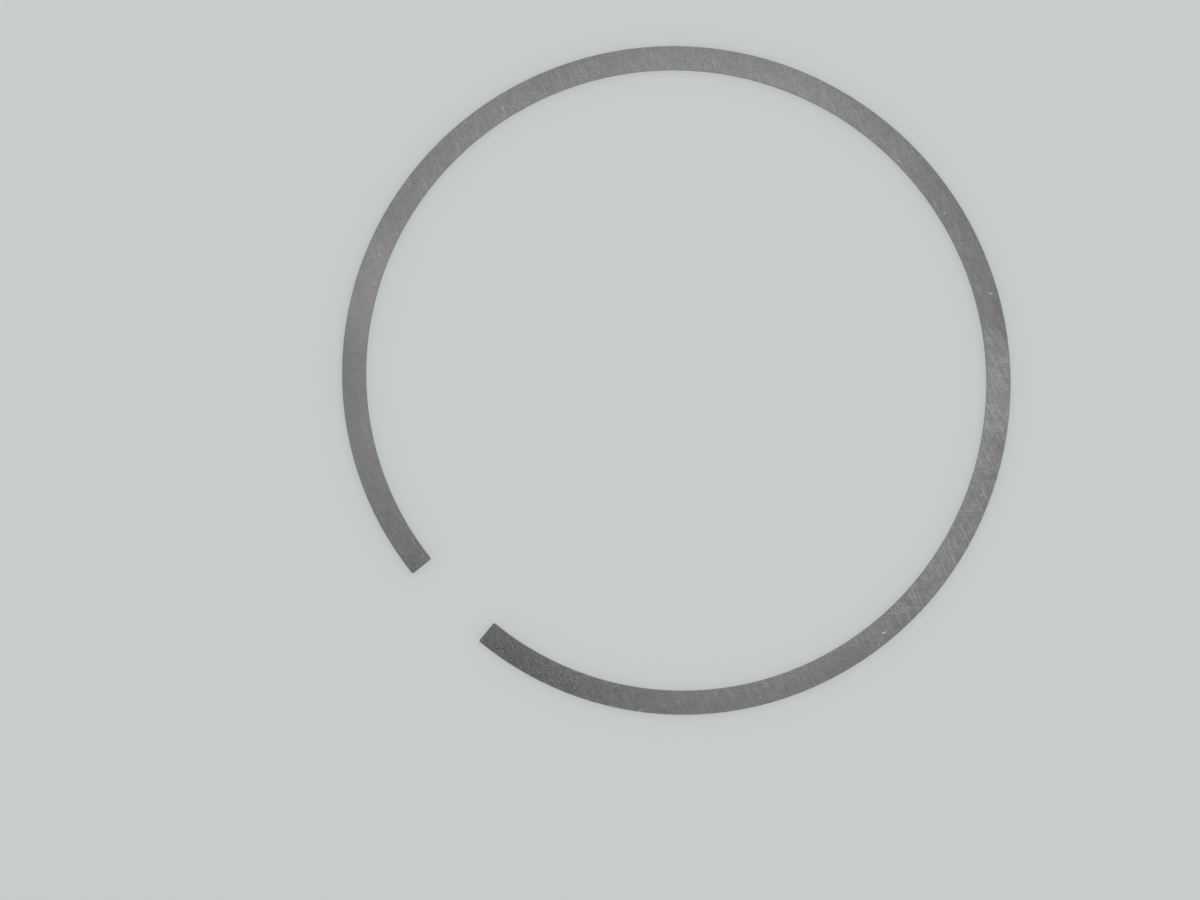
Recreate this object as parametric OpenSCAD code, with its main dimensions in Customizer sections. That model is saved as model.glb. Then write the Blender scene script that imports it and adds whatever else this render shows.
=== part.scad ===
// Compression piston ring, lying on its lower side face as it springs open off the piston.
// +Z is the ring's axis. The gap is on -Y and the back of the ring on +Y.
// The origin is on the lower side face, in the middle of the ring's length and width.

/* [Ring] */
// Cylinder bore that the ring closes to (mm)
bore = 101.6; // [60:0.1:130]
// Radial wall of the ring (mm)
wall = 3.85; // [2.5:0.05:4.5]
// Axial height between the two side faces (mm)
height = 1.5; // [1:0.05:3]

/* [Free form] */
// Gap between the ends with the ring relaxed (mm)
free_gap = 14.6; // [6:0.1:20]
// Gap between the ends with the ring in its bore (mm)
closed_gap = 0.4; // [0.2:0.05:1]
// Length along the gap line less width across it, with the ring held closed in a band (mm)
ovality = 0.3; // [0:0.05:0.8]

/* [Section] */
// Radius of the barrelled running face (mm)
barrel_radius = 20; // [8:1:24]
// Edge break along the running face (mm)
outer_break = 0.08; // [0.04:0.01:0.2]
// Edge break along the inner face (mm)
inner_break = 0.12; // [0.04:0.01:0.3]
// Corner break at the two ends (mm)
end_break = 0.2; // [0.05:0.05:0.5]

/* [Hidden] */
$fn = 180;
rad = 180 / PI;

// Neutral line of the closed ring, and how far an even wall pressure has to open it for the free gap.
r_closed = (bore - wall) / 2;
opening = (free_gap - closed_gap) / r_closed;
spread = 0.6 * (sqrt(1 + 10 * opening / (9 * PI)) - 1);
pear = 3 * ovality / (8 * r_closed);

// Angle that the free ring has turned at an angle of the closed ring, both counted from the back.
function turn(a) = a - spread * (a + rad * sin(a)) + rad * pear * sin(2 * a);
function closed_angle(t, a, n = 12) = n == 0 ? a : closed_angle(t, a + t - turn(a), n - 1);

// The free form is a row of tangent arcs, from the back of the ring to one end and mirrored for the other.
// The joints lie on the slopes of 3-4-5 and 7-24-25 triangles and the radii are whole hundredths,
// so that neighbouring arcs meet without a step.
slope = [[0.28, 0.96], [0.6, 0.8], [0.8, 0.6], [0.96, 0.28]];
joint = concat(slope, [for (i = [3 : -1 : 0]) [slope[i].x, -slope[i].y]]);
last = len(joint);
turns = concat([0], [for (n = joint) atan2(n.x, n.y)], [turn(180)]);
closed = [for (t = turns) closed_angle(t, t)];
function hundredth(v) = round(100 * v) / 100;
arc = [for (i = [0 : last]) hundredth(r_closed * (closed[i + 1] - closed[i]) / (turns[i + 1] - turns[i]))];

// Centres of the arcs, each on the joint line that it shares with the arc before it.
// The last arc ends where the gap is the free gap, and the ring is then centred on the origin.
function offset_to(i) = i == 0 ? [0, 0] : offset_to(i - 1) + (arc[i - 1] - arc[i]) * joint[i - 1];
end_turn = 180 - asin((free_gap / 2 - offset_to(last).x) / arc[last]);
inner = arc[last] - wall / 2;
outer = arc[last] + wall / 2;
back_y = arc[0] + wall / 2;
end_y = offset_to(last).y + outer * cos(end_turn - rad * end_break / outer);
centre_y = -hundredth((back_y + end_y) / 2);
centre = [for (i = [0 : last]) [0, centre_y] + offset_to(i)];

// Reach of the wedges that part the arcs, and the fall of the barrelled face at its edges.
reach = hundredth(1.35 * r_closed);
barrel_fall = barrel_radius - sqrt(barrel_radius * barrel_radius - height * height / 4);
edge_x = wall / 2 - barrel_fall;
past_edge = height / 4;

// Wall section, with the neutral line at x = 0 and the running face on +x.
module section() {
    intersection() {
        polygon([
            [-wall / 2 + inner_break, 0],
            [edge_x - outer_break, 0],
            [edge_x + past_edge, outer_break + past_edge],
            [edge_x + past_edge, height - outer_break - past_edge],
            [edge_x - outer_break, height],
            [-wall / 2 + inner_break, height],
            [-wall / 2, height - inner_break],
            [-wall / 2, inner_break]
        ]);
        translate([wall / 2 - barrel_radius, height / 2])
            circle(r = barrel_radius);
    }
}

// One arc of the ring, kept where it lies over the given outline.
module arc_over(i, outline) {
    intersection() {
        translate([centre[i].x, centre[i].y, 0])
            rotate_extrude()
                translate([arc[i], 0])
                    section();
        translate([0, 0, -height])
            linear_extrude(height = 3 * height)
                polygon(outline);
    }
}

// Arc across the back of the ring.
module back_arc() {
    arc_over(0, [
        centre[0],
        centre[0] + reach * [-joint[0].x, joint[0].y],
        centre[0] + reach * joint[0]
    ]);
}

// Arc down one side, between two joints.
module side_arc(i) {
    arc_over(i, [
        centre[i],
        centre[i] + reach * joint[i - 1],
        centre[i] + reach * joint[i]
    ]);
}

// Last arc, cut square to the wall at the gap, with its inner and outer corners broken.
module end_arc() {
    out = [sin(end_turn), cos(end_turn)];
    along = [cos(end_turn), -sin(end_turn)];
    set_back = end_break + wall;
    arc_over(last, [
        centre[last] + (inner - wall) * joint[last - 1],
        centre[last] + reach * joint[last - 1],
        centre[last] + (outer + wall) * out - set_back * along,
        centre[last] + (outer - end_break) * out,
        centre[last] + (inner + end_break) * out,
        centre[last] + (inner - wall) * out - set_back * along
    ]);
}

// Split ring of nitrided steel, ground on both side faces, one solid from end to end.
module piston_ring() {
    color([0.52, 0.53, 0.54])
    union() {
        back_arc();
        for (side = [0, 1])
            mirror([side, 0, 0]) {
                for (i = [1 : last - 1])
                    side_arc(i);
                end_arc();
            }
    }
}

piston_ring();
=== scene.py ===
import math
import bpy
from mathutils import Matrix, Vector


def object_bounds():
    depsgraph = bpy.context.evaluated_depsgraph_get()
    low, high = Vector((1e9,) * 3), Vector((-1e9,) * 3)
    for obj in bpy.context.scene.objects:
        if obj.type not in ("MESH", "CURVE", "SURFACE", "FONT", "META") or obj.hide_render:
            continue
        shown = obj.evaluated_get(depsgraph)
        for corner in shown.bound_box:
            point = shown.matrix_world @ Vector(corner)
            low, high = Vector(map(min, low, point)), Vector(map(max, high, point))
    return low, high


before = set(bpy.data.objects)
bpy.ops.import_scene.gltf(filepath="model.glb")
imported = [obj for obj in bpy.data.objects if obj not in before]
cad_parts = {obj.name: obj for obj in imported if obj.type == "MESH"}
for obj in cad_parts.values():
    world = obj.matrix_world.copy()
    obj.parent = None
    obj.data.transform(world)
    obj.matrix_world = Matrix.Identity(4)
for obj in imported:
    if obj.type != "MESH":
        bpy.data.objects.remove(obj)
cad_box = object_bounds()


# Piston ring: one split compression ring, sprung open as it lies off the piston.
# Nitrided steel wire, coiled to its free form, ground flat on both side faces, lapped on the
# barrelled running face and cut square at the gap.
mm_per_m = 1000.0
ring_wall = 3.85
half_size = mm_per_m / 2 * (cad_box[1] - cad_box[0])


def shade(tree, kind, inputs=None, **settings):
    """Adds a shader node. An input given as another node's socket is linked, any other is set."""
    made = tree.nodes.new("ShaderNode" + kind)
    for name, value in settings.items():
        setattr(made, name, value)
    for name, value in (inputs or {}).items():
        if isinstance(value, bpy.types.NodeSocket):
            tree.links.new(value, made.inputs[name])
        else:
            made.inputs[name].default_value = value
    return made


def reckon(tree, operation, *values):
    """Result of a Math node."""
    return shade(tree, "Math", dict(enumerate(values)), operation=operation).outputs[0]


def reckon_place(tree, operation, *values):
    """Vector that comes out of a Vector Math node."""
    return shade(tree, "VectorMath", dict(enumerate(values)), operation=operation).outputs["Vector"]


def measure(tree, operation, *values):
    """Number that comes out of a Vector Math node."""
    return shade(tree, "VectorMath", dict(enumerate(values)), operation=operation).outputs["Value"]


def ramp(tree, value, low, high, to_low=0.0, to_high=1.0):
    """Value that goes smoothly from to_low to to_high while the given one goes from low to high."""
    ends = {"Value": value, "From Min": low, "From Max": high, "To Min": to_low, "To Max": to_high}
    return shade(tree, "MapRange", ends, interpolation_type="SMOOTHSTEP").outputs["Result"]


def blend(tree, share, low, high):
    """Value that goes from low to high as share goes from 0 to 1."""
    return shade(tree, "Mix", {0: share, 2: low, 3: high}, data_type="FLOAT").outputs[0]


def swing(tree, *parts):
    """Sum of values that lie about a half, each times its weight, as a swing about nought."""
    total = -sum(weight for _, weight in parts) / 2
    for value, weight in parts:
        total = reckon(tree, "MULTIPLY_ADD", value, weight, total)
    return total


def grinding_marks():
    """Node group for the short parallel marks of a grinding wheel, from 0 to 1.

    The place is turned first, about the ring's axis. The pitch is a mark's length each way after that.
    """
    group = bpy.data.node_groups.new("grinding_marks", "ShaderNodeTree")
    for name, kind in (("Place", "Vector"), ("Turn", "Float"), ("Pitch", "Vector"), ("Detail", "Float")):
        group.interface.new_socket(name, in_out="INPUT", socket_type="NodeSocket" + kind)
    group.interface.new_socket("Marks", in_out="OUTPUT", socket_type="NodeSocketFloat")
    given = group.nodes.new("NodeGroupInput").outputs
    turned = shade(group, "VectorRotate", {"Vector": given["Place"], "Angle": given["Turn"]},
                   rotation_type="Z_AXIS")
    paced = reckon_place(group, "DIVIDE", turned.outputs[0], given["Pitch"])
    marks = shade(group, "TexNoise", {"Vector": paced, "Scale": 1.0, "Detail": given["Detail"],
                                      "Roughness": 0.6})
    out = group.nodes.new("NodeGroupOutput")
    group.links.new(marks.outputs["Fac"], out.inputs["Marks"])
    return group


def ground_steel():
    """Grey steel for the whole ring. Places and sizes inside are in millimetres."""
    steel = bpy.data.materials.new("ground_nitrided_steel")
    steel.use_nodes = True
    tree = steel.node_tree
    tree.nodes.clear()
    coords = shade(tree, "TexCoord")
    normal = coords.outputs["Normal"]
    place = reckon_place(tree, "MULTIPLY", coords.outputs["Object"], (mm_per_m, mm_per_m, mm_per_m))
    flat_place = reckon_place(tree, "MULTIPLY", place, (1.0, 1.0, 0.0))
    marks = grinding_marks()

    def ground(turn, pitch, detail):
        """Marks of a grinding wheel, with the turn in degrees."""
        given = {"Place": place, "Turn": math.radians(turn), "Pitch": pitch, "Detail": detail}
        return shade(tree, "Group", given, node_tree=marks).outputs["Marks"]

    def bright_lines(turn, pitch):
        """The same marks as bright lines that stand out from a smooth base."""
        return ramp(tree, ground(turn, pitch, 1.0), 0.47, 0.73, 0.4, 0.9)

    def cloud(size, detail):
        """Soft blotches of about one size, from 0 to 1."""
        return shade(tree, "TexNoise", {"Vector": place, "Scale": 1.0 / size, "Detail": detail,
                                        "Roughness": 0.6}).outputs["Fac"]

    def near(spot, full, none):
        """1 within full millimetres of a spot of the ring, seen along its axis, and 0 beyond none."""
        return ramp(tree, measure(tree, "DISTANCE", flat_place, (*spot, 0.0)), full, none, 1.0, 0.0)

    def dash(spot, direction, reach, width):
        """1 in the middle of a straight mark, falling to 0 at reach along it and width to its sides."""
        turned = shade(tree, "VectorRotate", {"Vector": reckon_place(tree, "SUBTRACT", flat_place, spot),
                                              "Angle": reckon(tree, "MULTIPLY", direction, -1.0)},
                       rotation_type="Z_AXIS")
        run = shade(tree, "SeparateXYZ", {0: reckon_place(tree, "ABSOLUTE", turned.outputs[0])}).outputs
        return reckon(tree, "MULTIPLY", ramp(tree, run["X"], 0.0, reach, 1.0, 0.0),
                      ramp(tree, run["Y"], 0.0, width, 1.0, 0.0))

    # Which way a spot faces tells the side faces, the two walls, the cut ends and the edge breaks apart.
    facing = reckon(tree, "ABSOLUTE", shade(tree, "SeparateXYZ", {0: normal}).outputs["Z"])
    outward = measure(tree, "DOT_PRODUCT", normal, reckon_place(tree, "NORMALIZE", flat_place))
    across = reckon(tree, "MAXIMUM", facing, reckon(tree, "ABSOLUTE", outward))
    side_face = ramp(tree, facing, 0.8, 0.95)
    running_face = ramp(tree, outward, 0.75, 0.93)
    inner_wall = ramp(tree, outward, -0.93, -0.75, 1.0, 0.0)
    cut_end = ramp(tree, across, 0.3, 0.6, 1.0, 0.0)

    # Side faces: bright wheel marks, a fainter crossing set, soft clouds and fine grain. One side of the
    # ring shows the marks more than the rest, the other side is smoother, and one end is mottled.
    marked_side = near((47.0, 20.0), 20.0, 31.0)
    smooth_side = near((-38.0, -34.0), 12.0, 30.0)
    mottled_end = near((12.0, -49.5), 8.0, 28.0)
    wheel_marks = bright_lines(20.0, (2.8, 0.13, 1.0))
    cross_marks = bright_lines(-48.0, (2.8, 0.14, 1.0))
    streaks = swing(tree, (wheel_marks, 0.5), (cross_marks, 0.22), (cloud(1.2, 1.0), 0.28))
    streaks = reckon(tree, "MULTIPLY", streaks, blend(tree, marked_side, 0.53, 1.0))
    mottling = reckon(tree, "MULTIPLY", swing(tree, (cloud(0.28, 1.0), 0.78)), mottled_end)
    grain = swing(tree, (cloud(0.17, 1.0), 0.74))
    face_swing = reckon(tree, "ADD", reckon(tree, "ADD", streaks, mottling), grain)
    face_swing = reckon(tree, "MULTIPLY", face_swing, blend(tree, smooth_side, 1.0, 0.64))

    # Walls and ends: fine lines along the drawn and lapped walls, and across the cut ends.
    wall_swing = swing(tree, (ground(0.0, (9.0, 9.0, 0.07), 2.0), 0.6), (cloud(0.3, 2.0), 0.3))
    marked = blend(tree, side_face, wall_swing, face_swing)

    # A drift that darkens is painted shade, and one that lightens is a painted reflection.
    # The side faces' grey falls a little from the inner edge to the outer one as painted shade, and
    # drifts round the ring.
    # Each drift is a spot, the distances where it is full and where it ends, and its change of grey.
    inner_edge_grey = 0.206
    outer_edge_grey = 0.188
    inner_edge = 1.0 - ring_wall / half_size.x
    from_axis = measure(tree, "LENGTH", reckon_place(tree, "DIVIDE", flat_place, half_size))
    side_grey = ramp(tree, from_axis, inner_edge, 1.0, inner_edge_grey, outer_edge_grey)
    side_grey = reckon(tree, "ADD", swing(tree, (cloud(24.0, 1.0), 0.03)), side_grey)
    painted_light_drifts = (
        ((12.0, -50.0), 6.0, 42.0, -0.066),  # painted shade at the mottled end, and far along from it
        ((8.5, -50.5), 4.0, 13.0, -0.013),  # painted shade at the tip of that end
        ((47.0, -19.0), 6.0, 30.0, -0.024),  # painted shade between that end and the marked side
        ((-30.0, -42.0), 5.0, 24.0, -0.012),  # painted shade towards the other end
        ((-45.0, -25.0), 4.0, 13.0, 0.022),  # painted reflection on a stretch of the smooth side
        ((-28.0, 43.0), 6.0, 26.0, 0.017),  # painted reflection on a stretch of the back
        ((20.0, 47.0), 6.0, 26.0, -0.024),  # painted shade at the back, next to the marked side
        ((35.0, 34.5), 6.0, 9.5, 0.028),  # painted reflection on a patch of the marked side
    )
    for spot, full, none, change in painted_light_drifts:
        side_grey = reckon(tree, "MULTIPLY_ADD", near(spot, full, none), change, side_grey)

    # Nicks and scratches through to bright metal: one in about every dozen cells, short and deep or long
    # and faint by its draw, and three placed ones that stand out.
    cells_per_mm = 0.36
    nick_width = 0.13
    cells = shade(tree, "TexVoronoi", {"Vector": flat_place, "Scale": cells_per_mm, "Randomness": 1.0},
                  voronoi_dimensions="2D")
    pick, length, heading = shade(tree, "SeparateColor", {0: cells.outputs["Color"]}).outputs
    length = reckon(tree, "POWER", length, 3.0)
    nicked = dash(cells.outputs["Position"], reckon(tree, "MULTIPLY", heading, math.pi),
                  blend(tree, length, 0.16, 1.06), nick_width)
    nicked = reckon(tree, "MULTIPLY", nicked, ramp(tree, pick, 0.92, 0.93))
    nicked = reckon(tree, "MULTIPLY", nicked, blend(tree, length, 0.9, 0.3))
    for spot, direction, reach, width, depth in (((51.7, -5.4), 45.0, 0.4, 0.22, 1.0),
                                                 ((25.2, 44.5), 45.0, 0.35, 0.15, 0.9),
                                                 ((-13.7, 47.6), -6.0, 1.2, 0.15, 0.3)):
        mark = dash((*spot, 0.0), math.radians(direction), reach, width)
        nicked = reckon(tree, "MAXIMUM", nicked, reckon(tree, "MULTIPLY", mark, depth))
    nicked = reckon(tree, "MULTIPLY", nicked, side_face)

    # The lapped band goes round the middle of the running face, between duller borders.
    height = shade(tree, "SeparateXYZ", {0: place}).outputs["Z"]
    from_middle = reckon(tree, "ABSOLUTE", reckon(tree, "SUBTRACT", height, half_size.z))
    wander = reckon(tree, "MULTIPLY_ADD", cloud(3.0, 2.0), 0.2, from_middle)
    lapped = ramp(tree, wander, 0.4, 0.55, 1.0, 0.0)

    # Grey of each face, with the burnished edge breaks as what is left between them.
    edge_break_grey = 0.3
    inner_wall_grey = 0.34
    cut_end_grey = 0.4
    border_grey = 0.34
    lapped_grey = 0.52
    bright_metal_grey = 0.5
    mark_strength = 1.45
    grey = blend(tree, side_face, edge_break_grey, side_grey)
    grey = blend(tree, inner_wall, grey, inner_wall_grey)
    grey = blend(tree, cut_end, grey, cut_end_grey)
    grey = blend(tree, running_face, grey, blend(tree, lapped, border_grey, lapped_grey))
    grey = reckon(tree, "MULTIPLY", grey, reckon(tree, "MULTIPLY_ADD", marked, mark_strength, 1.0))
    grey = blend(tree, nicked, grey, bright_metal_grey)

    # Roughness and relief: the lapped band is the smoothest, and the nicks go deeper than the marks.
    ground_roughness = 0.44
    border_roughness = 0.4
    lapped_roughness = 0.26
    mark_depth = 0.003 / mm_per_m
    rough = blend(tree, running_face, ground_roughness,
                  blend(tree, lapped, border_roughness, lapped_roughness))
    rough = reckon(tree, "MULTIPLY_ADD", marked, -0.14, rough)
    relief = reckon(tree, "MULTIPLY_ADD", nicked, -0.6, marked)
    bump = shade(tree, "Bump", {"Height": relief, "Strength": 1.0, "Distance": mark_depth})
    surface = shade(tree, "BsdfPrincipled", {"Base Color": grey, "Metallic": 1.0, "Roughness": rough,
                                             "Normal": bump.outputs["Normal"]})
    shade(tree, "OutputMaterial", {"Surface": surface.outputs[0]})
    return steel


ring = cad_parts["piston_ring"]
ring.material_slots[0].material = ground_steel()


# Floor: a sheet of pale matt board that the ring lies on, wide enough to be seen from low angles too.
# It also glows evenly towards the camera, so that it stays plain and the ring's shadow on it is soft.
floor_size = 6.0
floor_drop = 0.00004
floor_colour = (0.595, 0.622, 0.607, 1.0)
floor_glow = 0.6
bpy.ops.mesh.primitive_plane_add(size=floor_size, location=(0.0, 0.0, -floor_drop))
floor = bpy.context.object
floor.name = "floor"
board = bpy.data.materials.new("pale_board")
board.use_nodes = True
board_tree = board.node_tree
board_tree.nodes.clear()
lit = shade(board_tree, "BsdfPrincipled", {"Base Color": floor_colour, "Roughness": 0.9,
                                           "Specular IOR Level": 0.1})
glowing = shade(board_tree, "Emission", {"Color": floor_colour})
ray = shade(board_tree, "LightPath").outputs
seen = reckon(board_tree, "MAXIMUM", ray["Is Camera Ray"], ray["Is Glossy Ray"])
seen = reckon(board_tree, "MAXIMUM", seen, ray["Is Transmission Ray"])
both = shade(board_tree, "MixShader", {0: reckon(board_tree, "MULTIPLY", seen, floor_glow),
                                       1: lit.outputs[0], 2: glowing.outputs[0]})
shade(board_tree, "OutputMaterial", {"Surface": both.outputs[0]})
floor.data.materials.append(board)


# Light: an even pale room and one wide soft box overhead, out of the camera's sight.
# It hangs a little to the back, so that the side faces fall off towards the gap.
room_light = 0.78
world = bpy.data.worlds.new("pale_room")
world.use_nodes = True
room = world.node_tree.nodes["Background"].inputs
room["Color"].default_value = (1.0, 1.0, 1.0, 1.0)
room["Strength"].default_value = room_light
bpy.context.scene.world = world


def soft_box(name, place, width, depth, glow):
    """Rectangular lamp turned to the ring. Glow is how bright its face is, where 1 is white."""
    lamp = bpy.data.lights.new(name, "AREA")
    lamp.shape = "RECTANGLE"
    lamp.size = width
    lamp.size_y = depth
    lamp.energy = glow * math.pi * width * depth
    box = bpy.data.objects.new(name, lamp)
    box.location = place
    box.rotation_euler = (-Vector(place)).to_track_quat("-Z", "Y").to_euler()
    box.visible_camera = False
    bpy.context.collection.objects.link(box)


soft_box("overhead_box", place=(0.0, 0.17, 0.80), width=1.1, depth=0.8, glow=0.6)


# Camera: straight above, turned so that the gap points to the lower left of the picture.
# A long lens from well above, so that hardly any of the walls shows.
view_width = 0.19066
view_turn = 45.44
view_centre = (-0.00063, -0.01715)
lens = 600.0
sensor = 36.0
camera = bpy.data.objects.new("camera", bpy.data.cameras.new("camera"))
camera.data.sensor_width = sensor
camera.data.lens = lens
camera.data.clip_start = 0.01
camera.location = (*view_centre, cad_box[1].z + view_width * lens / sensor)
camera.rotation_euler = (0.0, 0.0, math.radians(view_turn))
bpy.context.collection.objects.link(camera)
bpy.context.scene.camera = camera
bpy.context.scene.view_settings.view_transform = "Standard"
